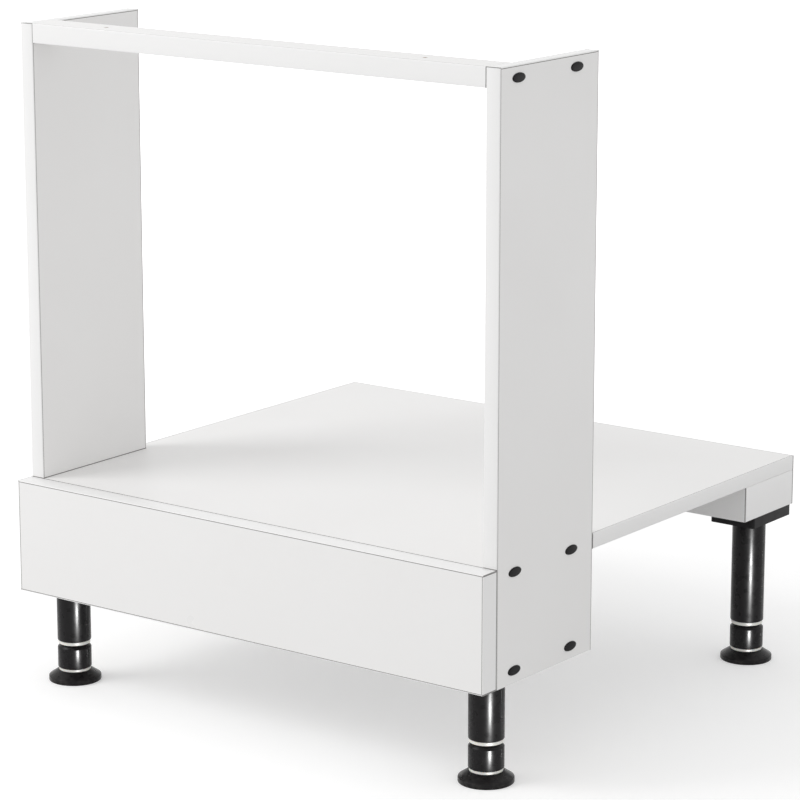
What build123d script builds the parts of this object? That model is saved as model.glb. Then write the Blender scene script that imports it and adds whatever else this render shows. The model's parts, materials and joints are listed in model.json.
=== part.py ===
"""Oven housing unit: a low kitchen carcass that carries a built-in compact oven.

Two narrow side panels, a front rail, a deep oven shelf and a front fascia stand on four
adjustable plastic legs. The rear legs carry the shelf through a bearer under its back edge.

Millimetres, +Z up. X runs across the unit, +Y runs from the fascia to the rear edge, and the
origin lies on the floor under the middle of the unit's footprint.
"""
import os
from math import pi

from build123d import *

os.makedirs("parts", exist_ok=True)

# Boards
unit_width = 600.0          # over the outer faces of the side panels
unit_depth = 560.0          # from the panels' front edges to the shelf's rear edge
panel_height = 600.0
panel_depth = 165.0
side_thickness = 16.0
shelf_thickness = 16.0
bottom_thickness = 16.0
rail_height = 20.0
rail_depth = 40.0
fascia_height = 120.0
fascia_thickness = 22.0
bearer_height = 38.0
bearer_depth = 100.0
edge_band = 1.0             # thickness of the glued edging
notch_gap = 0.5             # between a panel's rear edge and the shelf that wraps behind it

# Screws and dowels between the boards
front_row = 30.0            # from the panels' front edges to the first row of screws
rear_row = 38.0             # from the panels' rear edges to the second row
rail_screw_up = 8.0         # screw axis above the rail's underside
carcass_screw_radius = 3.15
carcass_screw_length = 50.0
carcass_screw_head = 4.5
dowel_radius = 4.0
dowel_length = 30.0
dowel_chamfer = 1.0
dowel_in_panel = 11.0       # the part of a dowel that sits in a side panel
dowel_in_fascia = 12.0      # the part of a dowel that sits in the fascia
rail_dowel_in = 12.0        # from the rail's front edge to its dowel
fascia_dowel_low = 32.0     # above the fascia's lower edge
fascia_dowel_high = 28.0    # below the fascia's upper edge
worktop_hole_radius = 2.5
worktop_hole_x = 200.0
link_bore_radius = 4.0      # where a bolt joins two neighbouring carcasses; blind until then

# Clearances and depths that all screws and dowels share
thread_fit = 0.1            # between a screw's crest and its pilot hole
dowel_fit = 0.05
shank_fit = 0.15            # between a screw and the piece it passes through
hole_spare = 1.0            # how much deeper a blind hole is than what it holds
thread_depth = 0.7
thread_pitch = 2.5
screw_point = 4.0           # length of a screw's tapered point
hex_across = 4.0
hex_depth = 2.6
cross_length = 4.2
cross_width = 0.9
cross_depth = 1.2
pan_height = 2.2
pan_edge = 0.9              # height of a pan head's upright rim
pan_slope = 1.5             # width of its sloping shoulder

# Oval cover caps
cap_length = 21.0
cap_width = 9.5
cap_height = 1.6
cap_round = 1.2
cap_stem_radius = 1.75
cap_stem_length = 2.2
link_stem_length = 10.0

# Bearer screws and the angle brackets behind the fascia
bearer_screw_radius = 2.25
bearer_screw_length = 48.0
bearer_screw_head = 4.4
bearer_screw_x = (65.0, 195.0)
bearer_screw_in = 25.0      # from the bearer's long edges
bracket_leg = 30.0
bracket_width = 40.0
bracket_sheet = 2.0
bracket_x = 150.0
bracket_hole_out = 19.0     # from the bracket's corner to its holes
bracket_hole_gap = 22.0
bracket_screw_radius = 2.0
bracket_screw_length = 14.0
bracket_screw_head = 3.8

# Legs
plinth_height = 105.0       # from the floor to the panels' lower edges
leg_side_in = 30.0          # leg axis from the unit's side
leg_front_in = 27.0         # front leg axis behind the panels' front edges
leg_radius = 18.0
leg_wall = 3.0
foot_radius = 28.0
foot_rim = 5.0
foot_cone = 6.5
foot_recess = 2.0
foot_land = 7.0             # width of the ring that touches the floor
collar_height = 26.0
collar_chamfer = 4.0
low_gap = 3.2               # between foot and collar, taken up by a slip ring
high_gap = 4.0              # between collar and tube, taken up by a slip ring
ring_inset = 1.0            # a slip ring is this much smaller than the leg's outside
ring_clearance = 0.3
foot_ring_play = 1.0        # between a foot's slip ring and its spindle
travel = 25.0               # how far a foot screws out
spindle_radius = 10.0
spindle_pitch = 4.0
spindle_flat = 8.2          # half the distance across the spindle's two flats
spindle_top = 88.0          # above the floor
spindle_thread = 1.3        # depth of the thread
spindle_crest = 1.2         # width of each of the thread's two slopes and of its crest
spindle_fit = 0.08          # between the spindle's crest and the collar's bore
flat_fit = 0.08             # between the spindle's flats and the tube's guide
neck_radius = 12.0
neck_fit = 0.08
neck_lip = 1.4
lip_height = 2.4
tube_floor = 4.0            # inward flange at the tube's lower end
guide_up = 10.0             # from the tube's lower end to the guide that stops the spindle turning
guide_height = 5.0
guide_seat = 1.5            # how far the guide reaches into the tube's wall
spigot_length = 20.0
spigot_wall = 3.0
spigot_chamfer = 0.8
spigot_fit = 0.05

# Leg plates
front_plate_thickness = 5.0
front_plate_inward = 38.0   # from the leg axis towards the middle of the unit
front_plate_length = 70.0
front_plate_clear = 0.3     # to the side panel's inner face
front_plate_back = 2.0      # behind the fascia
rear_plate_width = 54.0
rear_plate_out = 1.5        # plate's middle outside the leg axis
rear_plate_length = 78.0
rear_plate_thickness = 12.0
rear_plate_skin = 3.0
rear_plate_wall = 2.6
rear_plate_rib = 2.2
rear_plate_rim = 1.0        # solid plastic round the top of the tube
plate_corner = 3.0
plate_screw_radius = 2.0
plate_screw_head = 3.9
plate_screw_in = 8.0        # from a plate's edges
plate_boss = 2.0            # wall round each screw hole of a rear plate
front_plate_screw = 17.0    # length
rear_plate_screw = 25.0     # length

# Places worked out from the sizes
half_width = unit_width / 2
inner_x = half_width - side_thickness
panel_mid_x = half_width - side_thickness / 2
core_x = half_width - edge_band
fascia_front_y = -(unit_depth + fascia_thickness) / 2
front_y = fascia_front_y + fascia_thickness
rear_y = front_y + unit_depth
panel_rear_y = front_y + panel_depth
wide_y = panel_rear_y + notch_gap
bearer_front_y = rear_y - bearer_depth
base_z = plinth_height
top_z = base_z + panel_height
rail_under = top_z - rail_height
shelf_top = base_z + fascia_height
shelf_under = shelf_top - shelf_thickness
bottom_under = base_z + front_plate_thickness
bottom_top = bottom_under + bottom_thickness
bearer_under = shelf_under - bearer_height
rear_plate_under = bearer_under - rear_plate_thickness
leg_x = half_width - leg_side_in
front_leg_y = front_y + leg_front_in
rear_leg_y = rear_y - edge_band - rear_plate_length / 2
rear_plate_x = leg_x + rear_plate_out
foot_top = foot_rim + foot_cone
collar_under = foot_top + low_gap
collar_top = collar_under + collar_height
tube_under = collar_top + high_gap
sides = {"left": -1, "right": 1}

# Rows of screws, dowels and bores in a side panel, as (y, z)
screw_y = (front_y + front_row, panel_rear_y - rear_row)
dowel_y = sum(screw_y) / 2
rail_fixing_z = rail_under + rail_screw_up
shelf_mid_z = shelf_top - shelf_thickness / 2
bottom_mid_z = bottom_under + bottom_thickness / 2
rail_screws = [(screw_y[0], rail_fixing_z)]
shelf_screws = [(y, shelf_mid_z) for y in screw_y]
bottom_screws = [(y, bottom_mid_z) for y in screw_y]
link_bores = [(screw_y[1], rail_fixing_z)]
rail_dowels = [(front_y + rail_dowel_in, rail_fixing_z)]
shelf_dowels = [(dowel_y, shelf_mid_z)]
bottom_dowels = [(dowel_y, bottom_mid_z)]


def both_sides(points):
    """Points at the right side of the unit, and their mirror images at the left."""
    return [(side * x, along) for side in sides.values() for x, along in points]


def at_side(side, x, rows):
    """Planes at one side that face outwards, one for each (y, z) of the rows."""
    return [Plane(origin=(side * x, y, z), x_dir=(0, 1, 0), z_dir=(side, 0, 0)) for y, z in rows]


def at_sides(x, rows):
    """The same planes at both sides."""
    return [plane for side in sides.values() for plane in at_side(side, x, rows)]


def facing_up(points, z):
    """Planes that face up at a height, one for each (x, y) of the points."""
    return [Plane(origin=(x, y, z)) for x, y in points]


def facing_rear(points, y):
    """Planes that face the rear, one for each (x, z) of the points."""
    return [Plane(origin=(x, y, z), x_dir=(1, 0, 0), z_dir=(0, 1, 0)) for x, z in points]


def turned(planes):
    """The same places, facing the other way."""
    return [-plane for plane in planes]


# Screws and dowels elsewhere: (x, y) seen from above, or (x, z) on the fascia
worktop_points = both_sides([(worktop_hole_x, front_y + rail_depth / 2)])
fascia_dowel_z = (base_z + fascia_dowel_low, shelf_top - fascia_dowel_high)
fascia_dowel_points = both_sides([(panel_mid_x, z) for z in fascia_dowel_z])
bearer_screw_y = (bearer_front_y + bearer_screw_in, rear_y - bearer_screw_in)
bearer_points = both_sides([(x, y) for x in bearer_screw_x for y in bearer_screw_y])
bracket_hole_x = (-bracket_hole_gap / 2, bracket_hole_gap / 2)
bracket_points = both_sides([(bracket_x + x, front_y + bracket_hole_out) for x in bracket_hole_x])
bracket_fascia_z = (bottom_top + bracket_hole_out, shelf_under - bracket_hole_out)
bracket_fascia_points = both_sides([(bracket_x + x, z) for x in bracket_hole_x for z in bracket_fascia_z])

plate_inner_x = leg_x - front_plate_inward
plate_outer_x = inner_x - front_plate_clear
plate_front_y = front_y + front_plate_back
plate_rear_y = plate_front_y + front_plate_length
front_plate_points = [(plate_inner_x + plate_screw_in, plate_front_y + plate_screw_in),
                      (plate_inner_x + plate_screw_in, plate_rear_y - plate_screw_in),
                      (plate_outer_x - plate_screw_in, plate_rear_y - plate_screw_in)]
rear_plate_points = [(rear_plate_x + across * (rear_plate_width / 2 - plate_screw_in),
                      rear_leg_y + along * (rear_plate_length / 2 - plate_screw_in))
                     for across in (-1, 1) for along in (-1, 1)]


def keep(piece, name):
    """Labels a finished piece and writes its file."""
    piece.part.label = name
    export_step(piece.part, f"parts/{name}.step")


def slab(x_span, y_span, z_span, mode=Mode.ADD):
    """A block between two corners, added to the piece being built or cut from it."""
    with Locations((x_span[0], y_span[0], z_span[0])):
        Box(x_span[1] - x_span[0], y_span[1] - y_span[0], z_span[1] - z_span[0],
            align=(Align.MIN, Align.MIN, Align.MIN), mode=mode)


def drill(planes, radius, depth):
    """Round holes in the piece being built, each running in from its plane."""
    with Locations(*planes):
        Hole(radius, depth=depth)


def countersink(planes, screw_radius, head_radius):
    """Clearance holes with a seat for a countersunk head."""
    with Locations(*planes):
        CounterSinkHole(screw_radius + shank_fit, head_radius + shank_fit)


def drill_ends(screws, dowels):
    """The holes in both ends of a board that stands between the side panels."""
    drill(at_sides(inner_x, screws), carcass_screw_radius + thread_fit,
          carcass_screw_length - side_thickness + hole_spare)
    drill(at_sides(inner_x, dowels), dowel_radius + dowel_fit,
          dowel_length - dowel_in_panel + hole_spare)


def copies(piece, planes):
    """One node that holds a copy of a piece on each plane."""
    with BuildPart() as group:
        with Locations(*planes):
            add(piece.part)
    return group


# Side panels, edged at the front, the rear and the top
for name, side in sides.items():
    x_span = sorted((side * inner_x, side * half_width))
    core_y = (front_y + edge_band, panel_rear_y - edge_band)
    core_z = (base_z, top_z - edge_band)
    dowel_holes = turned(facing_rear([(side * panel_mid_x, z) for z in fascia_dowel_z], front_y))
    with BuildPart() as side_panel:
        slab(x_span, core_y, core_z)
        countersink(at_side(side, half_width, rail_screws + shelf_screws + bottom_screws),
                    carcass_screw_radius, carcass_screw_head)
        drill(at_side(side, half_width, link_bores), link_bore_radius, link_stem_length + hole_spare)
        drill(turned(at_side(side, inner_x, rail_dowels + shelf_dowels + bottom_dowels)),
              dowel_radius + dowel_fit, dowel_in_panel + hole_spare)
        drill(dowel_holes, dowel_radius + dowel_fit, dowel_length - dowel_in_fascia + hole_spare)
    keep(side_panel, f"{name}_side_panel")

    with BuildPart() as panel_edging:
        slab(x_span, (front_y, panel_rear_y), (base_z, top_z))
        slab(x_span, core_y, core_z, mode=Mode.SUBTRACT)
        drill(dowel_holes, dowel_radius + dowel_fit, edge_band)
    keep(panel_edging, f"{name}_panel_edging")

# Top front rail, edged at the front and the rear
rail_x = (-inner_x, inner_x)
rail_y = (front_y, front_y + rail_depth)
rail_z = (rail_under, top_z)
rail_core_y = (rail_y[0] + edge_band, rail_y[1] - edge_band)
with BuildPart() as top_front_rail:
    slab(rail_x, rail_core_y, rail_z)
    drill_ends(rail_screws, rail_dowels)
    drill(facing_up(worktop_points, top_z), worktop_hole_radius, rail_height)
keep(top_front_rail, "top_front_rail")

with BuildPart() as rail_edging:
    slab(rail_x, rail_y, rail_z)
    slab(rail_x, rail_core_y, rail_z, mode=Mode.SUBTRACT)
keep(rail_edging, "rail_edging")

# Oven shelf: between the panels at the front, over the full width behind them
shelf_z = (shelf_under, shelf_top)
shelf_core_y = (wide_y, rear_y - edge_band)
with BuildPart() as oven_shelf:
    slab((-inner_x, inner_x), (front_y, wide_y), shelf_z)
    slab((-core_x, core_x), shelf_core_y, shelf_z)
    drill_ends(shelf_screws, shelf_dowels)
    drill(turned(facing_up(bearer_points, shelf_under)), bearer_screw_radius + thread_fit,
          bearer_screw_length - bearer_height + hole_spare)
    drill(turned(facing_up(bracket_points, shelf_under)), bracket_screw_radius + thread_fit,
          bracket_screw_length - bracket_sheet + hole_spare)
keep(oven_shelf, "oven_shelf")

with BuildPart() as shelf_edging:
    slab((-half_width, half_width), (wide_y, rear_y), shelf_z)
    slab((-core_x, core_x), shelf_core_y, shelf_z, mode=Mode.SUBTRACT)
keep(shelf_edging, "shelf_edging")

# Bottom board, low between the panels and hidden by the fascia, edged at the rear
bottom_z = (bottom_under, bottom_top)
bottom_core_rear_y = panel_rear_y - edge_band
with BuildPart() as bottom_board:
    slab((-inner_x, inner_x), (front_y, bottom_core_rear_y), bottom_z)
    drill_ends(bottom_screws, bottom_dowels)
    drill(turned(facing_up(both_sides(front_plate_points), bottom_under)),
          plate_screw_radius + thread_fit, front_plate_screw - front_plate_thickness + hole_spare)
    drill(facing_up(bracket_points, bottom_top), bracket_screw_radius + thread_fit,
          bracket_screw_length - bracket_sheet + hole_spare)
keep(bottom_board, "bottom_board")

with BuildPart() as bottom_edging:
    slab((-inner_x, inner_x), (bottom_core_rear_y, panel_rear_y), bottom_z)
keep(bottom_edging, "bottom_edging")

# Fascia, edged all round and doweled to the panels' front edges
fascia_y = (fascia_front_y, front_y)
fascia_core_z = (base_z + edge_band, shelf_top - edge_band)
with BuildPart() as front_fascia:
    slab((-core_x, core_x), fascia_y, fascia_core_z)
    drill(facing_rear(fascia_dowel_points, front_y), dowel_radius + dowel_fit,
          dowel_in_fascia + hole_spare)
    drill(facing_rear(bracket_fascia_points, front_y), bracket_screw_radius + thread_fit,
          bracket_screw_length - bracket_sheet + hole_spare)
keep(front_fascia, "front_fascia")

with BuildPart() as fascia_edging:
    slab((-half_width, half_width), fascia_y, (base_z, shelf_top))
    slab((-core_x, core_x), fascia_y, fascia_core_z, mode=Mode.SUBTRACT)
keep(fascia_edging, "fascia_edging")

# Rear bearer, edged all round, which carries the back of the shelf on the rear legs
bearer_z = (bearer_under, shelf_under)
bearer_core_y = (bearer_front_y + edge_band, rear_y - edge_band)
with BuildPart() as rear_bearer:
    slab((-core_x, core_x), bearer_core_y, bearer_z)
    countersink(turned(facing_up(bearer_points, bearer_under)), bearer_screw_radius, bearer_screw_head)
    drill(turned(facing_up(both_sides(rear_plate_points), bearer_under)),
          plate_screw_radius + thread_fit, rear_plate_screw - rear_plate_thickness + hole_spare)
keep(rear_bearer, "rear_bearer")

with BuildPart() as bearer_edging:
    slab((-half_width, half_width), (bearer_front_y, rear_y), bearer_z)
    slab((-core_x, core_x), bearer_core_y, bearer_z, mode=Mode.SUBTRACT)
keep(bearer_edging, "bearer_edging")

# Angle brackets behind the fascia: one pair on the bottom board, one pair under the shelf
with BuildPart() as bracket:
    with BuildSketch(Plane.YZ.offset(-bracket_width / 2)):
        with BuildLine():
            Polyline((0, 0), (bracket_leg, 0), (bracket_leg, bracket_sheet), (bracket_sheet, bracket_sheet),
                     (bracket_sheet, bracket_leg), (0, bracket_leg), close=True)
        make_face()
    extrude(amount=bracket_width)
    bracket_holes = [(x, bracket_hole_out) for x in bracket_hole_x]
    drill(facing_up(bracket_holes, bracket_sheet), bracket_screw_radius + shank_fit, bracket_sheet)
    drill(facing_rear(bracket_holes, bracket_sheet), bracket_screw_radius + shank_fit, bracket_sheet)

bracket_corners = both_sides([(bracket_x, front_y)])
upright_places = facing_up(bracket_corners, bottom_top)
hanging_places = [Plane(origin=(x, y, shelf_under), x_dir=(-1, 0, 0), z_dir=(0, 0, -1))
                  for x, y in bracket_corners]
fascia_brackets = copies(bracket, upright_places + hanging_places)
keep(fascia_brackets, "fascia_brackets")


def countersunk(head_radius, shank_radius):
    """Half outline of a flat screw head whose top lies at z = 0."""
    return [(0, 0), (head_radius, 0), (shank_radius, shank_radius - head_radius)]


def pan(head_radius, shank_radius):
    """Half outline of a low screw head that stands on z = 0."""
    return [(0, pan_height), (head_radius - pan_slope, pan_height), (head_radius, pan_edge),
            (head_radius, 0), (shank_radius, 0)]


def ridges(radius, start, stop):
    """Half outline of a screw thread, crest by crest, from one height down to another."""
    turns = max(1, int((start - stop) / thread_pitch))
    step = (start - stop) / turns
    points = []
    for turn in range(turns):
        crest_z = start - turn * step
        points.append((radius, crest_z))
        points.append((radius - thread_depth, crest_z - step / 2))
    return points


def screw(radius, length, head, plain, hexagon=False):
    """A screw along -Z: its head, a plain shank, a ridged thread and a point."""
    point_top = screw_point - length
    outline = head + [(radius, -plain)] + ridges(radius, -plain - thread_pitch / 2, point_top)
    outline += [(radius - thread_depth, point_top), (0, -length)]
    head_top = head[0][1]
    with BuildPart() as piece:
        with BuildSketch(Plane.XZ):
            with BuildLine():
                Polyline(*outline, close=True)
            make_face()
        revolve(axis=Axis.Z)
        with BuildSketch(Plane.XY.offset(head_top)):
            if hexagon:
                RegularPolygon(radius=hex_across / 2, side_count=6, major_radius=False)
            else:
                Rectangle(cross_length, cross_width)
                Rectangle(cross_width, cross_length)
        extrude(amount=-hex_depth if hexagon else -cross_depth, mode=Mode.SUBTRACT)
    return piece


def cap(stem_radius, stem_length):
    """An oval cover cap that lies on z = 0, with its stem below."""
    with BuildPart() as piece:
        with BuildSketch():
            Ellipse(cap_length / 2, cap_width / 2)
        extrude(amount=cap_height)
        fillet(piece.edges().group_by(Axis.Z)[-1], radius=cap_round)
        with BuildSketch():
            Circle(stem_radius)
        extrude(amount=-stem_length)
    return piece


# Carcass screws under oval caps, and the capped link bores
carcass_screw = screw(carcass_screw_radius, carcass_screw_length,
                      countersunk(carcass_screw_head, carcass_screw_radius), side_thickness, hexagon=True)
screw_places = at_sides(half_width, rail_screws + shelf_screws + bottom_screws)
carcass_screws = copies(carcass_screw, screw_places)
keep(carcass_screws, "carcass_screws")

screw_caps = copies(cap(cap_stem_radius, cap_stem_length), screw_places)
keep(screw_caps, "screw_caps")

link_bore_caps = copies(cap(link_bore_radius - dowel_fit, link_stem_length), at_sides(half_width, link_bores))
keep(link_bore_caps, "link_bore_caps")

# Dowels
with BuildPart() as dowel:
    Cylinder(dowel_radius, dowel_length)
    chamfer(dowel.edges().filter_by(GeomType.CIRCLE), length=dowel_chamfer)

dowel_centre_x = inner_x + dowel_in_panel - dowel_length / 2
carcass_dowels = copies(dowel, at_sides(dowel_centre_x, rail_dowels + shelf_dowels + bottom_dowels))
keep(carcass_dowels, "carcass_dowels")

dowel_centre_y = front_y - dowel_in_fascia + dowel_length / 2
fascia_dowels = copies(dowel, facing_rear(fascia_dowel_points, dowel_centre_y))
keep(fascia_dowels, "fascia_dowels")

# Screws of the bearer, the brackets and the leg plates
bearer_screw = screw(bearer_screw_radius, bearer_screw_length,
                     countersunk(bearer_screw_head, bearer_screw_radius), bearer_height)
bearer_screws = copies(bearer_screw, turned(facing_up(bearer_points, bearer_under)))
keep(bearer_screws, "bearer_screws")

bracket_screw = screw(bracket_screw_radius, bracket_screw_length,
                      pan(bracket_screw_head, bracket_screw_radius), bracket_sheet)
bracket_screw_places = turned(facing_up(bracket_points, shelf_under - bracket_sheet))
bracket_screw_places += facing_up(bracket_points, bottom_top + bracket_sheet)
bracket_screw_places += facing_rear(bracket_fascia_points, front_y + bracket_sheet)
bracket_screws = copies(bracket_screw, bracket_screw_places)
keep(bracket_screws, "bracket_screws")

plate_head = countersunk(plate_screw_head, plate_screw_radius)
front_plate_screws = copies(screw(plate_screw_radius, front_plate_screw, plate_head, front_plate_thickness),
                            turned(facing_up(both_sides(front_plate_points), base_z)))
keep(front_plate_screws, "front_plate_screws")

rear_plate_screws = copies(screw(plate_screw_radius, rear_plate_screw, plate_head, rear_plate_thickness),
                           turned(facing_up(both_sides(rear_plate_points), rear_plate_under)))
keep(rear_plate_screws, "rear_plate_screws")

# The hollow spigot under each leg plate, which the tube pushes onto
spigot_radius = leg_radius - leg_wall - spigot_fit
with BuildPart() as spigot:
    with BuildSketch():
        Circle(spigot_radius)
        Circle(spigot_radius - spigot_wall, mode=Mode.SUBTRACT)
    extrude(amount=-spigot_length)
    chamfer(spigot.edges().group_by(Axis.Z)[0], length=spigot_chamfer)


def front_plate(side):
    """A thin plate let up between the side panel and the fascia, under the bottom board."""
    screw_points = [(side * x, y) for x, y in front_plate_points]
    with BuildPart() as piece:
        slab(sorted((side * plate_inner_x, side * plate_outer_x)), (plate_front_y, plate_rear_y),
             (base_z, bottom_under))
        fillet(piece.edges().filter_by(Axis.Z), radius=plate_corner)
        countersink(turned(facing_up(screw_points, base_z)), plate_screw_radius, plate_screw_head)
        with Locations((side * leg_x, front_leg_y, base_z)):
            add(spigot.part)
    return piece


def rear_plate(side):
    """A deep moulded plate with ribs and screw bosses below, flush with the bearer's rear face."""
    screw_points = [(side * x, y) for x, y in rear_plate_points]
    with BuildPart() as piece:
        with BuildSketch(Plane.XY.offset(rear_plate_under)):
            with Locations((side * rear_plate_x, rear_leg_y)):
                RectangleRounded(rear_plate_width, rear_plate_length, plate_corner)
        extrude(amount=rear_plate_thickness)
        with BuildSketch(Plane.XY.offset(rear_plate_under)):
            with Locations((side * rear_plate_x, rear_leg_y)):
                RectangleRounded(rear_plate_width - 2 * rear_plate_wall,
                                 rear_plate_length - 2 * rear_plate_wall, plate_corner / 2)
                Rectangle(rear_plate_rib, rear_plate_length, mode=Mode.SUBTRACT)
                Rectangle(rear_plate_width, rear_plate_rib, mode=Mode.SUBTRACT)
            with Locations((side * leg_x, rear_leg_y)):
                Circle(leg_radius + rear_plate_rim, mode=Mode.SUBTRACT)
            with Locations(*screw_points):
                Circle(plate_screw_head + plate_boss, mode=Mode.SUBTRACT)
        extrude(amount=rear_plate_thickness - rear_plate_skin, mode=Mode.SUBTRACT)
        countersink(turned(facing_up(screw_points, rear_plate_under)), plate_screw_radius, plate_screw_head)
        with Locations((side * leg_x, rear_leg_y, rear_plate_under)):
            add(spigot.part)
    return piece


def spindle_section(fit):
    """Cross-section of the spindle, a round with two flats, grown by a clearance."""
    with BuildSketch(mode=Mode.PRIVATE) as section:
        Circle(spindle_radius + fit)
        Rectangle(2 * (spindle_flat + fit), 3 * spindle_radius, mode=Mode.INTERSECT)
    return section.sketch


def tube(top):
    """The leg's outer tube, with an inward flange for the collar and a guide for the spindle."""
    with BuildPart() as piece:
        with BuildSketch(Plane.XY.offset(tube_under)):
            Circle(leg_radius)
            Circle(leg_radius - leg_wall, mode=Mode.SUBTRACT)
        extrude(amount=top - tube_under)
        with BuildSketch(Plane.XY.offset(tube_under)):
            Circle(leg_radius)
            Circle(neck_radius + neck_fit, mode=Mode.SUBTRACT)
        extrude(amount=tube_floor)
        with BuildSketch(Plane.XY.offset(tube_under + guide_up)):
            Circle(leg_radius - leg_wall + guide_seat)
            add(spindle_section(flat_fit), mode=Mode.SUBTRACT)
        extrude(amount=guide_height)
    return piece


def collar():
    """The adjusting collar: a nut whose neck snaps into the tube's lower end."""
    bore = spindle_radius + spindle_fit
    lip_under = tube_under + tube_floor + ring_clearance
    with BuildPart() as piece:
        with BuildSketch(Plane.XZ):
            with BuildLine():
                Polyline((bore, collar_under), (leg_radius, collar_under),
                         (leg_radius, collar_top - collar_chamfer), (leg_radius - collar_chamfer, collar_top),
                         (neck_radius, collar_top), (neck_radius, lip_under),
                         (neck_radius + neck_lip, lip_under), (neck_radius, lip_under + lip_height),
                         (bore, lip_under + lip_height), close=True)
            make_face()
        revolve(axis=Axis.Z)
    return piece


def foot():
    """The foot disc and its threaded spindle with two flats, which slides down out of the collar."""
    core = spindle_radius - spindle_thread
    turns = int((spindle_top - foot_top - 2 * spindle_thread) / spindle_pitch)
    spindle = [(0, foot_rim), (core, foot_rim)]
    for turn in range(turns):
        z = foot_top + spindle_thread + turn * spindle_pitch
        spindle += [(core, z), (spindle_radius, z + spindle_crest), (spindle_radius, z + 2 * spindle_crest),
                    (core, z + 3 * spindle_crest)]
    spindle += [(core, spindle_top), (0, spindle_top)]
    land_inner = foot_radius - foot_land
    disc = [(0, foot_recess), (land_inner, foot_recess), (land_inner, 0), (foot_radius, 0),
            (foot_radius, foot_rim), (leg_radius, foot_top), (0, foot_top)]
    with BuildPart() as piece:
        with BuildSketch(Plane.XZ):
            with BuildLine():
                Polyline(*spindle, close=True)
            make_face()
        revolve(axis=Axis.Z)
        with BuildSketch():
            add(spindle_section(0))
        extrude(amount=spindle_top, mode=Mode.INTERSECT)
        with BuildSketch(Plane.XZ):
            with BuildLine():
                Polyline(*disc, close=True)
            make_face()
        revolve(axis=Axis.Z)
    return piece


def ring(under, thickness, inner):
    """A pale slip ring."""
    with BuildPart() as piece:
        with BuildSketch(Plane.XY.offset(under)):
            Circle(leg_radius - ring_inset)
            Circle(inner, mode=Mode.SUBTRACT)
        extrude(amount=thickness)
    return piece


# Legs
leg_foot = foot()
leg_collar = collar()
foot_ring = ring(foot_top, low_gap - ring_clearance, spindle_radius + foot_ring_play)
tube_ring = ring(collar_top + ring_clearance, high_gap - ring_clearance, neck_radius + neck_fit)
leg_places = []
for name, side in sides.items():
    for row, y, plate, tube_top in (("front", front_leg_y, front_plate, base_z),
                                    ("rear", rear_leg_y, rear_plate, rear_plate_under)):
        leg = f"{row}_{name}"
        place = Plane(origin=(side * leg_x, y, 0))
        leg_places.append(place)
        keep(plate(side), f"{leg}_leg_plate")
        keep(copies(tube(tube_top), [place]), f"{leg}_leg_tube")
        keep(copies(leg_collar, [place]), f"{leg}_leg_collar")
        keep(copies(leg_foot, [place]), f"{leg}_leg_foot")
        keep(copies(foot_ring, [place]), f"{leg}_foot_ring")
tube_slip_rings = copies(tube_ring, leg_places)
keep(tube_slip_rings, "tube_slip_rings")

collar_turns = travel / spindle_pitch
print("a foot's", travel, "mm take", collar_turns, "turns of its collar,",
      travel / 1000 / (2 * pi * collar_turns), "m per radian")
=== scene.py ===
# %% [markdown]
# A white oven housing unit on black adjustable legs. The boards, the screws and every fit come
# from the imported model, which stays where it is. This script gives them their finishes, and makes
# anew what is too fine for the model: rounded edge bands, turned leg parts and domed cover caps.
# The frame is in metres: +Z is up, +Y runs from the fascia to the rear edge.

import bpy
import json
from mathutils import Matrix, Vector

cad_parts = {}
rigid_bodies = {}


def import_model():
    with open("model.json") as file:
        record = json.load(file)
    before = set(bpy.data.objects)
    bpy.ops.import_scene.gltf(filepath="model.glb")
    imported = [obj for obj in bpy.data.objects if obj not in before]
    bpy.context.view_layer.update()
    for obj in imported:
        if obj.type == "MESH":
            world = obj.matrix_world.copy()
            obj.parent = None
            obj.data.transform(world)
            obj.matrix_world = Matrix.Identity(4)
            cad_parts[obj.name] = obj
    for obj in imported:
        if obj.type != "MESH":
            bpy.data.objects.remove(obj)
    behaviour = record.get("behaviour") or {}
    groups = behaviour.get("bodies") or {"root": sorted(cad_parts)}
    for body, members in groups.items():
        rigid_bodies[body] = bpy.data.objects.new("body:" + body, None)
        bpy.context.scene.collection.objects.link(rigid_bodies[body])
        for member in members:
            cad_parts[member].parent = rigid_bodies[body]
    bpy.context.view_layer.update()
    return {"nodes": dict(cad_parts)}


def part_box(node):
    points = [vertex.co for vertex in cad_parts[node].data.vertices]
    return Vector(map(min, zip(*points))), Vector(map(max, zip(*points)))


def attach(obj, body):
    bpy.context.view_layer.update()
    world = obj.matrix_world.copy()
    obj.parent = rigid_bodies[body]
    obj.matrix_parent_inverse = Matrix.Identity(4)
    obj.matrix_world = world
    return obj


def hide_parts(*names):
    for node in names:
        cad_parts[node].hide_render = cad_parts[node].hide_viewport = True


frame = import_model()

# %% Libraries and units
import json
import math

import bmesh
import bpy
from mathutils import Matrix, Vector

MM = 0.001
X, Y, Z = range(3)
SIDES = {"left": -1, "right": 1}
ROWS = ("front", "rear")
LEGS = [f"{row}_{side}" for row in ROWS for side in SIDES]
SAME_PLACE = 0.002 * MM
SHARP = math.radians(35)
print("legs:", LEGS)

# %% [markdown]
# Materials and geometry are both built from nodes. A small class wraps an output socket, so that
# sums, products and comparisons on it are written as Python and become Math nodes. One method
# adds any other node: first its settings, then the values and links of its sockets.

# %% Node building


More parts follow.
